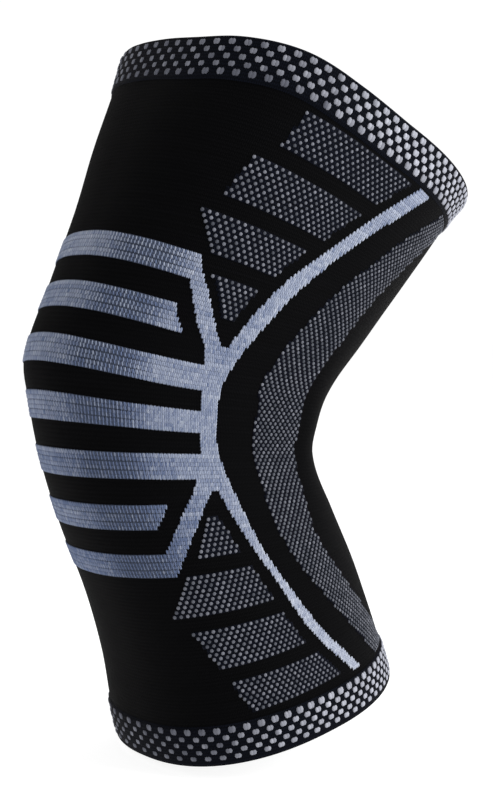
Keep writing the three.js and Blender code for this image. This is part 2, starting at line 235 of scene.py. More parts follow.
def smooth_column(rows, column, at, key="along"):
    """Smooth value of one column of a table at each value of its key."""
    x = np.array([row[key] for row in rows])
    y = np.array([row[column] for row in rows])
    order = np.arange(len(x))
    before = np.maximum(order - 1, 0)
    after = np.minimum(order + 1, len(x) - 1)
    slope = (y[after] - y[before]) / (x[after] - x[before])
    i = np.clip(np.searchsorted(x, at) - 1, 0, len(x) - 2)
    span = x[i + 1] - x[i]
    t = (at - x[i]) / span
    start = (1 + 2 * t) * (1 - t) ** 2 * y[i] + t * (1 - t) ** 2 * span * slope[i]
    end = t * t * (3 - 2 * t) * y[i + 1] + t * t * (t - 1) * span * slope[i + 1]
    return start + end


def lean(length):
    """Lean of the sleeve's centre line from upright, in radians toward the back."""
    return smooth_step(length / BEND_LENGTH + 0.5) * (THIGH_LEAN + CALF_LEAN) - CALF_LEAN


def centre(length):
    """Point (y, z) of the centre line, summed from the knee."""
    step = length / CENTRE_STEPS
    angle = lean((np.arange(CENTRE_STEPS) + 0.5) * step)
    start = (KNEE["front"] - KNEE["back"]) / 2
    return start + np.sin(angle).sum() * step, np.cos(angle).sum() * step


def sized_sections():
    """The table of sections with real sizes."""
    rows = []
    for row in SECTIONS:
        rim = CALF if row["along"] < 0 else THIGH
        sized = {"along": row["along"]}
        for column in ("width", "front", "back"):
            sized[column] = KNEE[column] + row[column] * (rim[column] - KNEE[column])
        share = abs(row["along"])
        sized["squareness"] = KNEE["squareness"] + share * (rim["squareness"] - KNEE["squareness"])
        rows.append(sized)
    return rows


def reach_of(along):
    """Length of the centre line that a share of it is counted in."""
    return np.where(np.asarray(along) < 0, CALF_REACH, THIGH_REACH)


def make_surface():
    """Half rings of the sleeve at even steps: points, outward directions, centre line and lean."""
    sections = sized_sections()
    columns = ("width", "front", "back", "squareness")
    surface = {"points": [], "outward": [], "middle": [], "lean": [], "half_ring": []}
    angle = np.linspace(0, math.pi, RING_SAMPLES + 1)
    facing = np.cos(angle) > 0
    for along in np.linspace(-1, 1, SURFACE_ROWS):
        size = {c: float(smooth_column(sections, c, along)) for c in columns}
        power = np.where(facing, 2 / size["squareness"], 2 / BACK_SQUARENESS)
        side = size["width"] / 2 * np.abs(np.sin(angle)) ** power
        depth = np.where(facing, -size["front"], size["back"]) * np.abs(np.cos(angle)) ** power
        lengths = np.concatenate([[0], np.cumsum(np.hypot(np.diff(side), np.diff(depth)))])
        wanted = np.linspace(0, lengths[-1], SURFACE_COLUMNS)
        points = np.stack([np.interp(wanted, lengths, side), np.interp(wanted, lengths, depth)], -1)
        tangent = np.gradient(points, axis=0)
        outward = np.stack([tangent[:, 1], -tangent[:, 0]], -1)
        outward /= np.linalg.norm(outward, axis=1)[:, None]
        outward[0] = (0, -1)
        outward[-1] = (0, 1)
        length = along * float(reach_of(along))
        surface["points"].append(points)
        surface["outward"].append(outward)
        surface["middle"].append(centre(length))
        surface["lean"].append(float(lean(length)))
        surface["half_ring"].append(lengths[-1])
    return {name: np.array(value) for name, value in surface.items()}


SURFACE = make_surface()


def between_rows(values, along):
    """Value at each share along the sleeve, between the rows of its surface."""
    at = (np.clip(along, -1, 1) + 1) / 2 * (SURFACE_ROWS - 1)
    i = np.minimum(at.astype(int), SURFACE_ROWS - 2)
    t = at - i
    t = t.reshape(t.shape + (1,) * (values.ndim - 1))
    return values[i] * (1 - t) + values[i + 1] * t


def on_sleeve(around, along, lift):
    """Points on the worn surface. around is a share of the half ring from the front, minus on the
    -X side, along a share of the reach, and lift a height over the black knit."""
    around, along, lift = np.broadcast_arrays(np.asarray(around, float), along, lift)
    row = (np.clip(along, -1, 1) + 1) / 2 * (SURFACE_ROWS - 1)
    i = np.minimum(row.astype(int), SURFACE_ROWS - 2)
    t = (row - i)[..., None]
    column = np.minimum(np.abs(around), 1) * (SURFACE_COLUMNS - 1)
    j = np.minimum(column.astype(int), SURFACE_COLUMNS - 2)
    s = (column - j)[..., None]

    def sample(grid):
        low = grid[i, j] * (1 - s) + grid[i, j + 1] * s
        high = grid[i + 1, j] * (1 - s) + grid[i + 1, j + 1] * s
        return low * (1 - t) + high * t

    flat = sample(SURFACE["points"]) + lift[..., None] * sample(SURFACE["outward"])
    middle = between_rows(SURFACE["middle"], along)
    angle = between_rows(SURFACE["lean"], along)
    past_rim = (along - np.clip(along, -1, 1)) * reach_of(along)
    x = np.sign(around) * flat[..., 0]
    y = middle[..., 0] + flat[..., 1] * np.cos(angle) + past_rim * np.sin(angle)
    z = middle[..., 1] - flat[..., 1] * np.sin(angle) + past_rim * np.cos(angle)
    return np.stack([x, y, z], -1)


# The thigh rim isn't level: its rise in metres by share of the half ring.
RIM_WAVE = [
    {"around": -1.0, "rise": 0.0},
    {"around": -0.45, "rise": 0.0},
    {"around": -0.25, "rise": 0.003},
    {"around": -0.15, "rise": 0.0034},
    {"around": -0.08, "rise": 0.002},
    {"around": 0.0, "rise": 0.0006},
    {"around": 0.1, "rise": -0.0012},
    {"around": 0.19, "rise": 0.0},
    {"around": 0.3, "rise": 0.0014},
    {"around": 0.4, "rise": -0.0009},
    {"around": 0.52, "rise": -0.0029},
    {"around": 0.65, "rise": -0.0025},
    {"around": 0.8, "rise": -0.0006},
    {"around": 1.0, "rise": 0.0},
]
WAVE_STARTS = 0.78
WAVE_FULL = 0.86


def pulled_up(around, along):
    """Where a row near the thigh rim lies once the rim is pulled up."""
    share = smooth_step((along - WAVE_STARTS) / (WAVE_FULL - WAVE_STARTS))
    return along + share * smooth_column(RIM_WAVE, "rise", around, "around") / THIGH_REACH


def new_mesh(name, points, faces, counts, materials):
    """A smooth-shaded mesh with a map that counts its wales and courses."""
    mesh = bpy.data.meshes.new(name)
    mesh.from_pydata(points.tolist(), [], faces)
    mesh.polygons.foreach_set("use_smooth", np.ones(len(faces), bool))
    stitch_count = mesh.uv_layers.new(name="stitch_count")
    stitch_count.data.foreach_set("uv", np.asarray(counts, np.float32).ravel())
    for material in materials:
        mesh.materials.append(material)
    return mesh


def round_mesh(name, alongs, lifts, columns, material):
    """A closed wall all round: a closed profile, up the outer face and down the inner one."""
    alongs, lifts = np.array(alongs), np.array(lifts)
    rows = len(alongs)
    around = 2 * np.arange(columns) / columns - 1
    places = pulled_up(around[None, :], alongs[:, None])
    points = on_sleeve(around[None, :], places, lifts[:, None]).reshape(-1, 3)
    faces = []
    counts = []
    wale = 2 * WALES_IN_HALF_RING / columns
    for row in range(rows):
        above = (row + 1) % rows
        low, high = alongs[row] / COURSE, alongs[above] / COURSE
        for column in range(columns):
            right = (column + 1) % columns
            faces.append((
                row * columns + column,
                row * columns + right,
                above * columns + right,
                above * columns + column,
            ))
            start, end = column * wale, (column + 1) * wale
            counts += [(start, low), (end, low), (end, high), (start, high)]
    return new_mesh(name, points, faces, counts, [material])


STITCH_DEPTH = 0.00035
# The streaks of the dark yarn are long along the courses and a little over a course high.
STREAK_SHARE = 0.04
STREAKS_IN_COURSE = 0.9


def knit_relief(tree):
    """Height of plain knitting, 0 to 1: in each wale two strands meet in a V at every course."""
    count = add_node(tree, "ShaderNodeUVMap", {"uv_map": "stitch_count"})
    place = add_node(tree, "ShaderNodeSeparateXYZ", None, {"Vector": count.outputs["UV"]})
    wale = add_node(tree, "ShaderNodeMath", {"operation": "FRACT"}, {0: place.outputs["X"]})
    wale_turn = add_node(tree, "ShaderNodeMath", {"operation": "MULTIPLY"}, {
        0: wale.outputs[0],
        1: 2 * math.pi,
    })
    wale_wave = add_node(tree, "ShaderNodeMath", {"operation": "SINE"}, {0: wale_turn.outputs[0]})
    strand = add_node(tree, "ShaderNodeMath", {"operation": "ABSOLUTE"}, {0: wale_wave.outputs[0]})
    centred = add_node(tree, "ShaderNodeMath", {"operation": "SUBTRACT"}, {
        0: wale.outputs[0],
        1: 0.5,
    })
    from_middle = add_node(tree, "ShaderNodeMath", {"operation": "ABSOLUTE"}, {
        0: centred.outputs[0],
    })
    slanted = add_node(tree, "ShaderNodeMath", {"operation": "SUBTRACT"}, {
        0: place.outputs["Y"],
        1: from_middle.outputs[0],
    })
    course = add_node(tree, "ShaderNodeMath", {"operation": "FRACT"}, {0: slanted.outputs[0]})
    course_turn = add_node(tree, "ShaderNodeMath", {"operation": "MULTIPLY"}, {
        0: course.outputs[0],
        1: math.pi,
    })
    course_wave = add_node(tree, "ShaderNodeMath", {"operation": "SINE"}, {
        0: course_turn.outputs[0],
    })
    height = add_node(tree, "ShaderNodeMath", {"operation": "MULTIPLY"}, {
        0: strand.outputs[0],
        1: course_wave.outputs[0],
    })
    return height.outputs[0]


def knit_ground(name, shaded_gap_colour, yarn_colour, streak, sheen):
    """Plain knitting of dark yarn: V stitches in relief, with painted shade that darkens the colour
    between them, and faint streaks along the courses where the yarn lies tighter."""
    material, tree = new_material(name)
    height = knit_relief(tree)
    count = add_node(tree, "ShaderNodeUVMap", {"uv_map": "stitch_count"})
    stretched = add_node(tree, "ShaderNodeMapping", None, {
        "Vector": count.outputs["UV"],
        "Scale": (STREAK_SHARE, 1, 1),
    })
    streaks = add_node(tree, "ShaderNodeTexNoise", None, {
        "Vector": stretched.outputs["Vector"],
        "Scale": STREAKS_IN_COURSE,
        "Detail": 3.0,
        "Roughness": 0.6,
    })
    # Painted shade: the colour goes to the dark gap colour where the relief is low, between the
    # strands.
    yarn = add_node(tree, "ShaderNodeMix", {"data_type": "RGBA"}, {
        "Factor": height,
        6: linear(shaded_gap_colour),
        7: linear(yarn_colour),
    })
    streak_amount = add_node(tree, "ShaderNodeMapRange", None, {
        "Value": streaks.outputs["Fac"],
        "From Min": 0.3,
        "From Max": 0.7,
        "To Min": 1 - streak,
        "To Max": 1 + streak,
    })
    shade = add_node(tree, "ShaderNodeMix", {"data_type": "RGBA", "blend_type": "MULTIPLY"}, {
        "Factor": 1.0,
        6: yarn.outputs[2],
        7: streak_amount.outputs["Result"],
    })
    bump = add_node(tree, "ShaderNodeBump", None, {
        "Strength": 0.4,
        "Distance": STITCH_DEPTH,
        "Height": height,
    })
    surface = add_node(tree, "ShaderNodeBsdfPrincipled", None, {
        "Base Color": shade.outputs[2],
        "Roughness": 0.8,
        "IOR": 1.5,
        "Specular IOR Level": 0.04,
        "Sheen Weight": sheen,
        "Sheen Roughness": 0.35,
        "Sheen Tint": linear("#c9c2bc"),
        "Normal": bump.outputs["Normal"],
    })
    add_node(tree, "ShaderNodeOutputMaterial", None, {"Surface": surface.outputs["BSDF"]})
    return material


# Textured nylon over elastic, plain knitted: deep matt black with a faint grey bloom at the edges
# of the form, where the fine loose fibres catch the light.
black_knit = knit_ground("black_nylon_plain_knit", "#010102", "#050506", 0.3, 0.012)

TUBE_COLUMNS = 270
TUBE_ROW = 0.0022
LINING_ROW = 0.006
tube_low = (LOWER_CUFF_HEIGHT - TUBE_UNDER_CUFF) / CALF_REACH - 1
tube_high = 1 - (UPPER_CUFF_HEIGHT - TUBE_UNDER_CUFF) / THIGH_REACH
tube_length = tube_high * THIGH_REACH - tube_low * CALF_REACH
outer_alongs = np.linspace(tube_low, tube_high, round(tube_length / TUBE_ROW))
lining_alongs = np.linspace(tube_high, tube_low, round(tube_length / LINING_ROW))
tube_alongs = np.concatenate([outer_alongs, lining_alongs])
tube_lifts = np.concatenate([0 * outer_alongs, 0 * lining_alongs - WALL])
tube_mesh = round_mesh("knitted_tube", tube_alongs, tube_lifts, TUBE_COLUMNS, black_knit)
knit_tube = link_mesh("knitted_tube", tube_mesh)
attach(knit_tube, "root")
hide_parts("knit_tube")


# Kneecap frame
# Zones of thicker blue-grey yarn knitted into the tube at the front of the bend: cross stripes, an
# arm at each side, and a long line down each side. Both strands of each stitch stand up from the
# cloth.
STRIPE_HALF_HEIGHT = 0.0325
JOINED_STRIPES = (-3, -1, 0, 1, 3)
FREE_STRIPES = {"free_stripe_upper": 2, "free_stripe_lower": -2}
FREE_STRIPE_GAP = 0.008
NOTCH_UPPER = 0.18
NOTCH_LOWER = -0.19
SIDE_LINE = [
    {"along": -0.85, "front": 0.59, "back": 0.6135},
    {"along": -0.66, "front": 0.501, "back": 0.5265},
    {"along": -0.42, "front": 0.445, "back": 0.4625},
    {"along": -0.19, "front": 0.405, "back": 0.439},
    {"along": 0.0, "front": 0.409, "back": 0.426},
    {"along": 0.18, "front": 0.408, "back": 0.443},
    {"along": 0.36, "front": 0.438, "back": 0.4745},
    {"along": 0.56, "front": 0.506, "back": 0.536},
    {"along": 0.83, "front": 0.6, "back": 0.632},
]
ARM = [
    {"along": -0.4225, "front": 0.19, "back": 0.24},
    {"along": -0.3575, "front": 0.236, "back": 0.281},
    {"along": -0.24, "front": 0.313, "back": 0.356},
    {"along": -0.19, "front": 0.35, "back": 0.394},
    {"along": -0.0975, "front": 0.391, "back": 0.4},
    {"along": 0.0975, "front": 0.391, "back": 0.4},
    {"along": 0.18, "front": 0.36, "back": 0.397},
    {"along": 0.24, "front": 0.318, "back": 0.355},
    {"along": 0.3575, "front": 0.26, "back": 0.289},
    {"along": 0.4225, "front": 0.215, "back": 0.262},
]
# Over the bend the rows are pulled up in front, so they hang lower toward the sides.
DROOP = 0.0045
DROOP_STARTS = -0.12
DROOP_FULL = 0.15
DROOP_FADES = 0.5
DROOP_ENDS = 0.85
DROOP_SIDE = 0.42

# Heights over the black knit, and the strands: their thickness, their width in shares of their
# pitch, their slant, and how many stand side by side in the half ring.
ZONE_GROUND = 0.0002
ZONE_SUNK = -0.0004
STRAND_RISE = 0.0007
STRAND_WIDTH = 1.45
STRAND_SLANT = 0.12
STRANDS_IN_HALF_RING = 244

# In front the stretch opens the cloth: every second strand sinks and the rows draw together in
# pairs. The yarn looks darker there, and lightest on the side lines, where the strands lie full
# and long. rise is painted shade gained up the sleeve: the front is painted lighter high up and
# darker low down, and the side lines the other way round, as the light falls. length is in courses.
YARN_LOOK_AND_PAINTED_SHADE = [
    {"around": 0.0, "shade": 0.31, "rise": 0.4, "open": 0.3, "length": 1.3},
    {"around": 0.08, "shade": 0.26, "rise": 0.4, "open": 0.5, "length": 1.25},
    {"around": 0.13, "shade": 0.06, "rise": 0.5, "open": 1.0, "length": 1.1},
    {"around": 0.21, "shade": 0.06, "rise": 0.5, "open": 1.0, "length": 1.1},
    {"around": 0.28, "shade": 0.26, "rise": 0.4, "open": 0.15, "length": 1.3},
    {"around": 0.35, "shade": 0.32, "rise": 0.2, "open": 0.0, "length": 1.35},
    {"around": 0.42, "shade": 0.32, "rise": 0.0, "open": 0.0, "length": 1.35},
    {"around": 0.46, "shade": 0.5, "rise": -0.2, "open": 0.0, "length": 1.6},
    {"around": 1.0, "shade": 0.55, "rise": -0.2, "open": 0.0, "length": 1.7},
]
# At full openness: how much narrower the strands are, how far every second one sinks, and how far
# the rows draw together, in courses.
OPEN_NARROW = 0.3
OPEN_SINK = 0.75
OPEN_GATHER = 0.07


def drooped(around, along):
    """Where a row of stitches really lies, from where it would lie if it ran straight round."""
    rise = smooth_step((along - DROOP_STARTS) / (DROOP_FULL - DROOP_STARTS))
    fade = 1 - smooth_step((along - DROOP_FADES) / (DROOP_ENDS - DROOP_FADES))
    return along - DROOP / THIGH_REACH * rise * fade * smooth_step(np.abs(around) / DROOP_SIDE)


def straight_column(rows, column, at, key="along"):
    """Value of one column of a table, straight between its rows."""
    return np.interp(at, [row[key] for row in rows], [row[column] for row in rows])


def in_frame(around, row_along):
    """True where the joined light zone covers a stitch."""
    along = drooped(around, row_along)
    side = np.abs(around)
    low = JOINED_STRIPES[0] * STRIPE_PITCH - STRIPE_HALF_HEIGHT
    high = JOINED_STRIPES[-1] * STRIPE_PITCH + STRIPE_HALF_HEIGHT
    number = np.round(row_along / STRIPE_PITCH)
    near_stripe = np.abs(row_along - number * STRIPE_PITCH) < STRIPE_HALF_HEIGHT
    arm_front = straight_column(ARM, "front", along)
    arm_back = straight_column(ARM, "back", along)
    line_front = smooth_column(SIDE_LINE, "front", along)
    line_back = smooth_column(SIDE_LINE, "back", along)
    stripes = near_stripe & np.isin(number, JOINED_STRIPES) & (side <= arm_back)
    arms = (row_along > low) & (row_along < high) & (side >= arm_front) & (side <= arm_back)
    webs = (along > NOTCH_LOWER) & (along < NOTCH_UPPER) & (side >= arm_front) & (side <= line_back)
    on_line = (along > SIDE_LINE[0]["along"]) & (along < SIDE_LINE[-1]["along"])
    lines = on_line & (side >= line_front) & (side <= line_back)
    return stripes | arms | webs | lines


def in_free_stripe(number):
    """The test for a light stripe whose ends stand free of the arms."""
    def covers(around, row_along):
        along = drooped(around, row_along)
        gap = FREE_STRIPE_GAP / between_rows(SURFACE["half_ring"], along)
        end = straight_column(ARM, "front", along) - gap
        in_stripe = np.abs(row_along - number * STRIPE_PITCH) < STRIPE_HALF_HEIGHT
        return in_stripe & (np.abs(around) < end)
    return covers


def zone_cells(covers):
    """The cells of a light zone, by column of strands and course. Whole cells give its edges their
    steps."""
    columns = np.arange(-STRANDS_IN_HALF_RING, STRANDS_IN_HALF_RING)
    last = math.ceil(1 / COURSE)
    column_grid, course_grid = np.meshgrid(columns, np.arange(-last, last))
    inside = covers((column_grid + 0.5) / STRANDS_IN_HALF_RING, (course_grid + 0.5) * COURSE)
    return column_grid[inside], course_grid[inside]


def cell_patch(columns, rows, place, low, high):
    """Points, faces and stitch counts of a flat closed body that fills those cells. place turns
    corners, counted in columns and rows, into shares round and along the sleeve."""
    cells = set(zip(columns.tolist(), rows.tolist()))
    steps = ((0, 0), (1, 0), (0, 1), (1, 1))
    corners = sorted({(column + x, row + y) for column, row in cells for x, y in steps})
    index = {corner: i for i, corner in enumerate(corners)}
    around, along = place(*np.array(corners, float).T)
    points = np.concatenate([on_sleeve(around, along, low), on_sleeve(around, along, high)])
    stitch_counts = np.stack([around * WALES_IN_HALF_RING, along / COURSE], -1).tolist()
    total = len(corners)
    faces = []
    counts = []

    def add_face(*ends):
        faces.append([index[corner] + level * total for corner, level in ends])
        counts.extend(stitch_counts[index[corner]] for corner, _ in ends)

    for column, row in sorted(cells):
        low_left, low_right = (column, row), (column + 1, row)
        high_left, high_right = (column, row + 1), (column + 1, row + 1)
        add_face((low_left, 1), (low_right, 1), (high_right, 1), (high_left, 1))
        add_face((high_left, 0), (high_right, 0), (low_right, 0), (low_left, 0))
        sides = (
            ((column, row - 1), low_left, low_right),
            ((column + 1, row), low_right, high_right),
            ((column, row + 1), high_right, high_left),
            ((column - 1, row), high_left, low_left),
        )
        for neighbour, start, end in sides:
            if neighbour not in cells:
                add_face((start, 0), (end, 0), (end, 1), (start, 1))
    return points, faces, counts


def strand_tree():
    """Geometry Nodes that set one raised strand of yarn on each point. A point's attributes give
    its turn, its size and its shade."""
    group = bpy.data.node_groups.new("raised_strands", "GeometryNodeTree")
    group.interface.new_socket("Geometry", in_out="INPUT", socket_type="NodeSocketGeometry")
    group.interface.new_socket("Geometry", in_out="OUTPUT", socket_type="NodeSocketGeometry")
    sockets = {}
    for name, kind in (("Sides", "Int"), ("Rings", "Int"), ("Yarn", "Material")):
        socket = group.interface.new_socket(name, in_out="INPUT", socket_type="NodeSocket" + kind)
        sockets[name] = socket.identifier
    given = add_node(group, "NodeGroupInput")
    ball = add_node(group, "GeometryNodeMeshUVSphere", None, {
        "Segments": given.outputs["Sides"],
        "Rings": given.outputs["Rings"],
        "Radius": 0.5,
    })
    lying = add_node(group, "GeometryNodeTransform", None, {
        "Geometry": ball.outputs["Mesh"],
        "Rotation": (math.pi / 2, 0, 0),
    })
    kind = {"data_type": "FLOAT_VECTOR"}
    point_turn = add_node(group, "GeometryNodeInputNamedAttribute", kind, {"Name": "turn"})
    point_size = add_node(group, "GeometryNodeInputNamedAttribute", kind, {"Name": "size"})
    rotation = add_node(group, "FunctionNodeEulerToRotation", None, {
        "Euler": point_turn.outputs["Attribute"],
    })
    strands = add_node(group, "GeometryNodeInstanceOnPoints", None, {
        "Points": given.outputs["Geometry"],
        "Instance": lying.outputs["Geometry"],
        "Rotation": rotation.outputs["Rotation"],
        "Scale": point_size.outputs["Attribute"],
    })
    real = add_node(group, "GeometryNodeRealizeInstances", None, {
        "Geometry": strands.outputs["Instances"],
    })
    smooth = add_node(group, "GeometryNodeSetShadeSmooth", None, {
        "Geometry": real.outputs["Geometry"],
    })
    dyed = add_node(group, "GeometryNodeSetMaterial", None, {
        "Geometry": smooth.outputs["Geometry"],
        "Material": given.outputs["Yarn"],
    })
    add_node(group, "NodeGroupOutput", None, {"Geometry": dyed.outputs["Geometry"]})
    return group, sockets


STRAND_TREE, STRAND_SOCKETS = strand_tree()
TANGENT_STEP = 0.004
# Real fibres are some 0.02 mm thick. They are drawn as coarse as they need to be to show.
FIBRES_IN_METRE = 2600.0
FIBRE_DEPTH = 0.0001


def strand_mesh(name, around, along, lift, size, slant, shade, form, yarn):
    """A mesh of raised strands at those places. size has a row of width, length and thickness in
    metres for each strand, slant is its turn on the surface, and form the sides and rings."""
    points = on_sleeve(around, along, lift)
    step = TANGENT_STEP
    across = on_sleeve(around + step, along, lift) - on_sleeve(around - step, along, lift)
    upward = on_sleeve(around, along + step, lift) - on_sleeve(around, along - step, lift)
    across /= np.linalg.norm(across, axis=1)[:, None]
    outward = np.cross(across, upward)
    outward /= np.linalg.norm(outward, axis=1)[:, None]
    upward = np.cross(outward, across)
    cosine, sine = np.cos(slant)[:, None], np.sin(slant)[:, None]
    across, upward = cosine * across + sine * upward, cosine * upward - sine * across
    frames = zip(across, upward, outward)
    turns = [Matrix(np.stack(axes, -1).tolist()).to_euler()[:] for axes in frames]
    seed = bpy.data.meshes.new(name + "_points")
    seed.from_pydata(points.tolist(), [], [])
    for label, kind, field, values in (
        ("turn", "FLOAT_VECTOR", "vector", turns),
        ("size", "FLOAT_VECTOR", "vector", size),
        ("shade", "FLOAT", "value", shade),
    ):
        attribute = seed.attributes.new(label, kind, "POINT")
        attribute.data.foreach_set(field, np.asarray(values, np.float32).ravel())
    holder = link_mesh(name + "_points", seed)
    modifier = holder.modifiers.new("strands", "NODES")
    modifier.node_group = STRAND_TREE
    modifier[STRAND_SOCKETS["Sides"]] = form["sides"]
    modifier[STRAND_SOCKETS["Rings"]] = form["rings"]
    modifier[STRAND_SOCKETS["Yarn"]] = yarn
    bpy.context.view_layer.update()
    made = holder.evaluated_get(bpy.context.evaluated_depsgraph_get())
    mesh = bpy.data.meshes.new_from_object(made)
    bpy.data.objects.remove(holder)
    return mesh


def joined_piece(name, ground, strands):
    """One object from the ground mesh and the mesh of strands, with both materials."""
    lower = link_mesh(name, ground)
    upper = link_mesh(name + "_strands", strands)
    with bpy.context.temp_override(active_object=lower, selected_editable_objects=[lower, upper]):
        bpy.ops.object.join()
    for label in ("turn", "size"):
        attribute = lower.data.attributes.get(label)
        if attribute:
            lower.data.attributes.remove(attribute)
    return lower


def yarn_material(name, dark_colour, light_colour, sheen):
    """Raised strands of a fuller yarn, each a little lighter or darker than the next."""
    material, tree = new_material(name)
    shade = add_node(tree, "ShaderNodeAttribute", {"attribute_name": "shade"})
    colour = add_node(tree, "ShaderNodeMix", {"data_type": "RGBA"}, {
        "Factor": shade.outputs["Fac"],
        6: linear(dark_colour),
        7: linear(light_colour),
    })
    place = add_node(tree, "ShaderNodeTexCoord")
    fibres = add_node(tree, "ShaderNodeTexNoise", None, {
        "Vector": place.outputs["Object"],
        "Scale": FIBRES_IN_METRE,
        "Detail": 2.0,
    })
    bump = add_node(tree, "ShaderNodeBump", None, {
        "Strength": 0.35,
        "Distance": FIBRE_DEPTH,
        "Height": fibres.outputs["Fac"],
    })
    surface = add_node(tree, "ShaderNodeBsdfPrincipled", None, {
        "Base Color": colour.outputs[2],
        "Roughness": 0.75,
        "IOR": 1.5,
        "Specular IOR Level": 0.2,
        "Sheen Weight": sheen,
        "Sheen Roughness": 0.5,
        "Normal": bump.outputs["Normal"],
    })
    add_node(tree, "ShaderNodeOutputMaterial", None, {"Surface": surface.outputs["BSDF"]})
    return material


# Textured polyester yarn, dyed blue-grey: matt and a little fluffy, so the stitches look soft.
light_yarn = yarn_material("blue_grey_textured_yarn", "#586583", "#babfca", 0.06)
# The same yarn deeper in the cloth, seen in the gaps between the raised strands. Its darker colours
# are partly the black knit showing through and partly painted shade in the gaps.
gap_yarn_and_painted_shade = knit_ground("blue_grey_yarn_in_gaps_painted_shade", "#262b36", "#3f4655", 0.1, 0.02)

STRAND_FORM = {"sides": 4, "rings": 3}
STRAND_NOISE = 0.1
COURSE_NOISE = 0.06
rng = np.random.default_rng(7)


def strand_place(columns, courses):
    """Shares round and along of a corner counted in strands and courses."""
    around = columns / STRANDS_IN_HALF_RING
    return around, drooped(around, courses * COURSE)


def yarn_zone(name, covers):
    """A light zone: its ground and a raised strand in each of its cells."""
    columns, courses = zone_cells(covers)
    patch = cell_patch(columns, courses, strand_place, ZONE_SUNK, ZONE_GROUND)
    ground = new_mesh(name, *patch, [gap_yarn_and_painted_shade])
    around = (columns + 0.5) / STRANDS_IN_HALF_RING
    look = {
        column: straight_column(YARN_LOOK_AND_PAINTED_SHADE, column, np.abs(around), "around")
        for column in ("shade", "rise", "open", "length")
    }
    openness = look["open"]
    odd = columns % 2
    toward_pair = 2 * (courses % 2) - 1
    along = drooped(around, (courses + 0.5 + OPEN_GATHER * openness * toward_pair) * COURSE)
    sunk = OPEN_SINK * openness * odd
    width = STRAND_WIDTH * between_rows(SURFACE["half_ring"], along) / STRANDS_IN_HALF_RING
    width = width * (1 - OPEN_NARROW * openness) * (1 - sunk)
    span = on_sleeve(around, along + COURSE / 2, 0) - on_sleeve(around, along - COURSE / 2, 0)
    length = look["length"] * np.linalg.norm(span, axis=1)
    size = np.stack([width, length, STRAND_RISE * (1 - sunk)], -1)
    course_shade = rng.normal(0, COURSE_NOISE, 2 * math.ceil(1 / COURSE))
    # The rise term is painted shade by height on the sleeve, standing in for how the light falls.
    shade = np.maximum(look["shade"] + along * look["rise"], 0) * (1 - openness * odd)
    shade = shade + course_shade[courses] + rng.normal(0, STRAND_NOISE, len(around))
    shade = np.clip(shade, 0, 1)
    slant = STRAND_SLANT * (1 - 2 * odd)
    strands = strand_mesh(
        name, around, along, ZONE_GROUND, size, slant, shade, STRAND_FORM, light_yarn
    )
    piece = joined_piece(name, ground, strands)
    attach(piece, "root")
    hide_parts(name.removeprefix("knitted_"))
    return piece


knitted_on = [yarn_zone("knitted_kneecap_frame", in_frame)]
for name, number in FREE_STRIPES.items():
    knitted_on.append(yarn_zone("knitted_" + name, in_free_stripe(number)))


# Dotted panels
# In front of each side line are four panels above the knee and four below it. A grey yarn comes
# to the face at every second stitch, so each panel is a field of small dots on navy-black.
PANELS = [
    {"name": "thigh_1", "low": 0.73, "high": 0.84, "front_low": 0.325, "front_high": 0.338},
    {"name": "thigh_2", "low": 0.555, "high": 0.67, "front_low": 0.267, "front_high": 0.29},
    {"name": "thigh_3", "low": 0.406, "high": 0.497, "front_low": 0.296, "front_high": 0.248},
    {"name": "thigh_4", "low": 0.26, "high": 0.347, "front_low": 0.363, "front_high": 0.317},
    {"name": "calf_1", "low": -0.367, "high": -0.27, "front_low": 0.309, "front_high": 0.359},
    {"name": "calf_2", "low": -0.526, "high": -0.422, "front_low": 0.206, "front_high": 0.265},
    {"name": "calf_3", "low": -0.689, "high": -0.581, "front_low": 0.27, "front_high": 0.232},
    {"name": "calf_4", "low": -0.837, "high": -0.744, "front_low": 0.318, "front_high": 0.288},
]
PANEL_GAP = 0.006
PANEL_FRONT_EASE = 0.5
PANEL_MIDDLE = 0.38
# How far the rows rise from the front of the sleeve to its back, in metres for the half ring.
THIGH_PANEL_TILT = -0.013
CALF_PANEL_TILT = 0.008
DOT_ROW = 1.2 * COURSE
DOT_GROUND = 0.00012
DOT_RISE = 0.0008
DOT_FORM = {"sides": 7, "rings": 4}
DOT_NOISE = 0.2
THIGH_PANEL_COLUMNS = 157
CALF_PANEL_COLUMNS = 147
# The stretch spreads the stitches in front and leaves them closer toward the back: their pitch
# round the sleeve, by share of the half ring.
STITCH_SPREAD = [
    {"around": 0.0, "pitch": 1.15},
    {"around": 0.1, "pitch": 1.06},
    {"around": 0.2, "pitch": 0.95},
    {"around": 0.32, "pitch": 0.88},
    {"around": 0.42, "pitch": 0.8},
    {"around": 0.5, "pitch": 0.76},
    {"around": 1.0, "pitch": 0.76},
]

# Navy-black nylon between the dots, slightly bluer than the body.
dotted_ground = knit_ground("navy_black_dotted_ground", "#04050a", "#0f121d", 0.15, 0.03)
# Grey textured yarn of the dots: small, soft and matt.
dot_yarn = yarn_material("grey_dot_yarn", "#3d4048", "#74767f", 0.04)


def spread_round(share):
    """Where the stretch leaves a stitch, from where it would lie if all were spread evenly. Both
    are shares of the half ring from the front, minus on the -X side."""
    around = np.linspace(0, 1, RING_SAMPLES + 1)
    density = 1 / straight_column(STITCH_SPREAD, "pitch", around, "around")
    count = np.concatenate([[0], np.cumsum(density[1:] + density[:-1])])
    return np.sign(share) * np.interp(np.abs(share), count / count[-1], around)


def in_panel(panel):
    """The test for a panel: its front edge and a fixed gap to the side line."""
    def covers(side, along):
        share = (along - panel["low"]) / (panel["high"] - panel["low"])
        front = panel["front_low"] + share * (panel["front_high"] - panel["front_low"])
        back = smooth_column(SIDE_LINE, "front", along)
        back = back - PANEL_GAP / between_rows(SURFACE["half_ring"], along)
        return (side > front - PANEL_FRONT_EASE / WALES_IN_HALF_RING) & (side < back)
    return covers


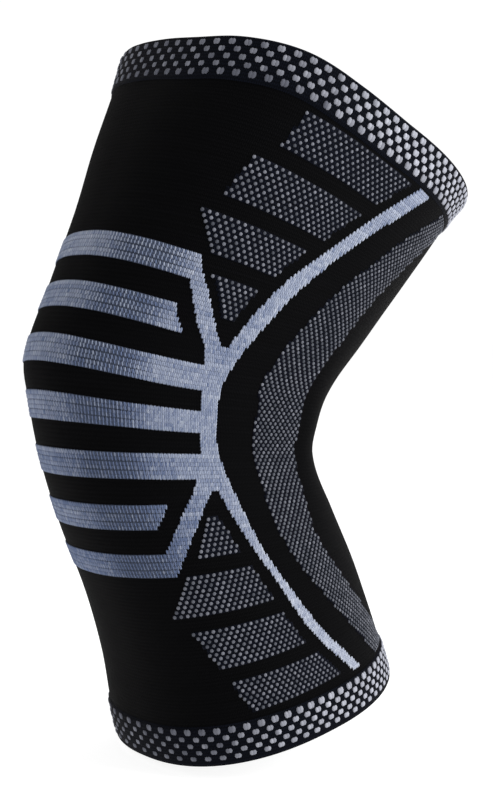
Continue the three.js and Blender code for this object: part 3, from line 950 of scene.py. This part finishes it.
def dotted_zone(name, covers, side, lattice, dot):
    """A field of dots on its ground, on one side of the sleeve. lattice gives the dot columns in
    the half ring, the places of the first and last row, the number of rows and their tilt."""
    pitch = (lattice["high"] - lattice["low"]) / (lattice["rows"] - 1)

    def place(columns, rows):
        around = spread_round(columns / lattice["columns"])
        rise = lattice["tilt"] * (np.abs(around) - PANEL_MIDDLE)
        return around, lattice["low"] + (rows - 0.5) * pitch + rise

    column_grid, row_grid = np.meshgrid(np.arange(lattice["columns"]), np.arange(lattice["rows"]))
    around, along = place(column_grid + 0.5, row_grid + 0.5)
    inside = covers(around, along)
    columns, rows = column_grid[inside], row_grid[inside]
    cells = columns if side > 0 else -1 - columns
    patch = cell_patch(cells, rows, place, ZONE_SUNK, DOT_GROUND)
    ground = new_mesh(name, *patch, [dotted_ground])
    first_dot = columns[rows == lattice["rows"] - 1].min() + lattice["rows"] - 1
    dotted = (columns + rows - first_dot) % 2 == 0
    around, along = side * around[inside][dotted], along[inside][dotted]
    width = dot["size"] * straight_column(STITCH_SPREAD, "pitch", np.abs(around), "around")
    size = np.stack([width, width, np.full(len(around), DOT_RISE)], -1)
    shade = np.clip(rng.normal(dot["shade"], DOT_NOISE, len(around)), 0, 1)
    slant = np.zeros(len(around))
    strands = strand_mesh(name, around, along, DOT_GROUND, size, slant, shade, DOT_FORM, dot_yarn)
    piece = joined_piece(name, ground, strands)
    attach(piece, "root")
    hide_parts(name.removeprefix("knitted_"))
    return piece


PANEL_DOT = {"size": 0.00185, "shade": 0.42}
for side_name, side in (("left", 1), ("right", -1)):
    for panel in PANELS:
        on_calf = panel["high"] < 0
        tilt = CALF_PANEL_TILT / CALF_REACH if on_calf else THIGH_PANEL_TILT / THIGH_REACH
        lattice = {
            "columns": CALF_PANEL_COLUMNS if on_calf else THIGH_PANEL_COLUMNS,
            "low": panel["low"],
            "high": panel["high"],
            "rows": round((panel["high"] - panel["low"]) / DOT_ROW) + 1,
            "tilt": tilt,
        }
        name = f"knitted_panel_{panel['name']}_{side_name}"
        knitted_on.append(dotted_zone(name, in_panel(panel), side, lattice, PANEL_DOT))


# Crescents
# Behind each side line a long curved band of dots runs from cuff to cuff and bends round the hollow
# at the back. It is knitted into the tube with the same grey yarn as the panels, in closer rows.
CRESCENT = [
    {"along": -0.85, "front": 0.695, "back": 0.8},
    {"along": -0.7, "front": 0.622, "back": 0.722},
    {"along": -0.5, "front": 0.545, "back": 0.64},
    {"along": -0.35, "front": 0.515, "back": 0.611},
    {"along": -0.2, "front": 0.515, "back": 0.625},
    {"along": 0.0, "front": 0.521, "back": 0.64},
    {"along": 0.2, "front": 0.524, "back": 0.64},
    {"along": 0.4, "front": 0.556, "back": 0.658},
    {"along": 0.55, "front": 0.6, "back": 0.69},
    {"along": 0.7, "front": 0.65, "back": 0.735},
    {"along": 0.84, "front": 0.712, "back": 0.8},
]
CRESCENT_DOT = {"size": 0.00197, "shade": 0.25}
CRESCENT_COLUMNS = 142
CRESCENT_ROW = COURSE


def in_crescent(side, along):
    """The test for the curved band."""
    front = smooth_column(CRESCENT, "front", along)
    back = smooth_column(CRESCENT, "back", along)
    return (side > front) & (side < back)


crescent_lattice = {
    "columns": CRESCENT_COLUMNS,
    "low": CRESCENT[0]["along"],
    "high": CRESCENT[-1]["along"],
    "rows": round((CRESCENT[-1]["along"] - CRESCENT[0]["along"]) / CRESCENT_ROW) + 1,
    "tilt": 0.0,
}
for side_name, side in (("left", 1), ("right", -1)):
    name = "knitted_crescent_" + side_name
    knitted_on.append(dotted_zone(name, in_crescent, side, crescent_lattice, CRESCENT_DOT))


# Cuffs
# At each end the knitting is turned in and knitted double over elastic, which makes a thick welt
# with rounded edges. Rows of pale grey stitches in pairs go round it, set like bricks.
CUFF_PROUD = 0.0006
CUFF_EDGE = 0.0013
CUFF_COLUMNS = 270
CUFF_EDGE_STEPS = 5
CUFF_FACE_STEPS = 6
CUFF_BULGE = 0.0003
CUFF_DOT_RISE = 0.0010
CUFF_DOT_SLANT = 0.1
CUFF_DOT_NOISE = 0.1
# In the tables of rows, parted is how far a dot's two strands stand from its middle, in widths,
# and dim what the row loses in shade. PARTED_NARROW says how much the strands narrow as they part,
# and the shifts where the first dots stand, in pitches.
PARTED_NARROW = 1.6
UPPER_CUFF_SHIFT = 0.55
LOWER_CUFF_SHIFT = 0.3
UPPER_CUFF_DOTS = 82
UPPER_CUFF_ROWS = [
    {"from_rim": 0.0030, "width": 0.0033, "height": 0.0029, "parted": 0.19, "dim": 0.0},
    {"from_rim": 0.0061, "width": 0.0032, "height": 0.0028, "parted": 0.19, "dim": 0.0},
    {"from_rim": 0.0092, "width": 0.0033, "height": 0.0030, "parted": 0.19, "dim": 0.0},
    {"from_rim": 0.0123, "width": 0.0032, "height": 0.0028, "parted": 0.19, "dim": 0.0},
    {"from_rim": 0.0157, "width": 0.0034, "height": 0.0034, "parted": 0.21, "dim": 0.2},
]
LOWER_CUFF_DOTS = 67
LOWER_CUFF_ROWS = [
    {"from_rim": 0.0040, "width": 0.0030, "height": 0.0023, "parted": 0.16, "dim": 0.0},
    {"from_rim": 0.0068, "width": 0.0030, "height": 0.0024, "parted": 0.16, "dim": 0.0},
    {"from_rim": 0.0097, "width": 0.0030, "height": 0.0025, "parted": 0.16, "dim": 0.0},
    {"from_rim": 0.0126, "width": 0.0030, "height": 0.0025, "parted": 0.16, "dim": 0.0},
    {"from_rim": 0.0157, "width": 0.0032, "height": 0.0032, "parted": 0.18, "dim": 0.05},
]
# The stretch thins the dots' yarn over the front of the cuff, so they are smaller there. Their
# shade is
# painted shade: the dots are darker over the front and lighter toward the sides, as the light
# falls.
CUFF_SIZE_AND_PAINTED_SHADE = [
    {"around": 0.0, "shade": 0.08, "size": 0.97},
    {"around": 0.2, "shade": 0.12, "size": 0.97},
    {"around": 0.32, "shade": 0.38, "size": 1.02},
    {"around": 0.5, "shade": 0.7, "size": 1.05},
    {"around": 1.0, "shade": 0.7, "size": 1.05},
]

# Doubled navy-black welt, matt like the body but fuller, so its edge rolls softly.
cuff_ground = knit_ground("navy_black_doubled_welt", "#030408", "#0b0e17", 0.15, 0.05)
# Pale grey yarn of the cuff dots, thicker than the panels' and lighter.
cuff_yarn = yarn_material("pale_grey_cuff_yarn", "#4f515b", "#a9abb5", 0.05)


def welt_profile(low, high):
    """Shares along the sleeve and lifts of the welt's closed outline, edges rounded."""
    reach = float(reach_of(high if high > 0 else low))
    edge = CUFF_EDGE / reach
    turn = np.linspace(0, math.pi / 2, CUFF_EDGE_STEPS)
    face = np.linspace(0, 1, CUFF_FACE_STEPS + 2)[1:-1]
    face_along = low + edge + face * (high - low - 2 * edge)
    bulge = CUFF_BULGE * np.sin(math.pi * face)
    low_edge = low + edge * (1 - np.cos(turn))
    high_edge = high - edge * (1 - np.cos(turn[::-1]))
    outer_lift = CUFF_PROUD - CUFF_EDGE * (1 - np.sin(turn))
    inner_lift = -WALL + CUFF_EDGE * (1 - np.sin(turn))
    alongs = [low_edge, face_along, high_edge, high_edge[::-1], low_edge[::-1]]
    lifts = [outer_lift, CUFF_PROUD + bulge, outer_lift[::-1], inner_lift, inner_lift[::-1]]
    return np.concatenate(alongs), np.concatenate(lifts)


def knit_cuff(name, low, high, rows, dots, shift):
    """A welt with its rows of dots, each of two strands side by side."""
    rim = high if high > 0 else low
    alongs, lifts = welt_profile(low, high)
    ground = round_mesh(name, alongs, lifts, CUFF_COLUMNS, cuff_ground)
    reach = float(reach_of(rim))
    half_ring = float(between_rows(SURFACE["half_ring"], np.array(rim)))
    arounds, places, sizes, slants, dims = [], [], [], [], []
    for number, row in enumerate(rows):
        share = 2 * (np.arange(dots) + shift + 0.5 * (number % 2)) / dots
        middle = spread_round((share + 1) % 2 - 1)
        for side in (-1, 1):
            around = middle + side * row["parted"] * row["width"] / half_ring
            arounds.append((around + 1) % 2 - 1)
            places.append(np.full(dots, rim - math.copysign(row["from_rim"] / reach, rim)))
            width = (1 - PARTED_NARROW * row["parted"]) * row["width"]
            sizes.append(np.tile([width, row["height"], CUFF_DOT_RISE], (dots, 1)))
            slants.append(np.full(dots, -side * CUFF_DOT_SLANT))
            dims.append(np.full(dots, row["dim"]))
    around = np.concatenate(arounds)
    along = pulled_up(around, np.concatenate(places))
    # Painted shade: the dots are darker over the front of the cuff and lighter at its sides.
    shade = straight_column(CUFF_SIZE_AND_PAINTED_SHADE, "shade", np.abs(around), "around") - np.concatenate(dims)
    shade = np.clip(shade + rng.normal(0, CUFF_DOT_NOISE, len(around)), 0, 1)
    lift = CUFF_PROUD + CUFF_BULGE / 2
    growth = straight_column(CUFF_SIZE_AND_PAINTED_SHADE, "size", np.abs(around), "around")
    size = np.concatenate(sizes) * growth[:, None]
    slant = np.concatenate(slants)
    strands = strand_mesh(name, around, along, lift, size, slant, shade, DOT_FORM, cuff_yarn)
    piece = joined_piece(name, ground, strands)
    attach(piece, "root")
    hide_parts(name.removeprefix("knitted_"))
    return piece


upper_low = 1 - UPPER_CUFF_HEIGHT / THIGH_REACH
lower_high = LOWER_CUFF_HEIGHT / CALF_REACH - 1
for name, low, high, rows, dots, shift in (
    ("knitted_upper_cuff", upper_low, 1.0, UPPER_CUFF_ROWS, UPPER_CUFF_DOTS, UPPER_CUFF_SHIFT),
    ("knitted_lower_cuff", -1.0, lower_high, LOWER_CUFF_ROWS, LOWER_CUFF_DOTS, LOWER_CUFF_SHIFT),
):
    knitted_on.append(knit_cuff(name, low, high, rows, dots, shift))
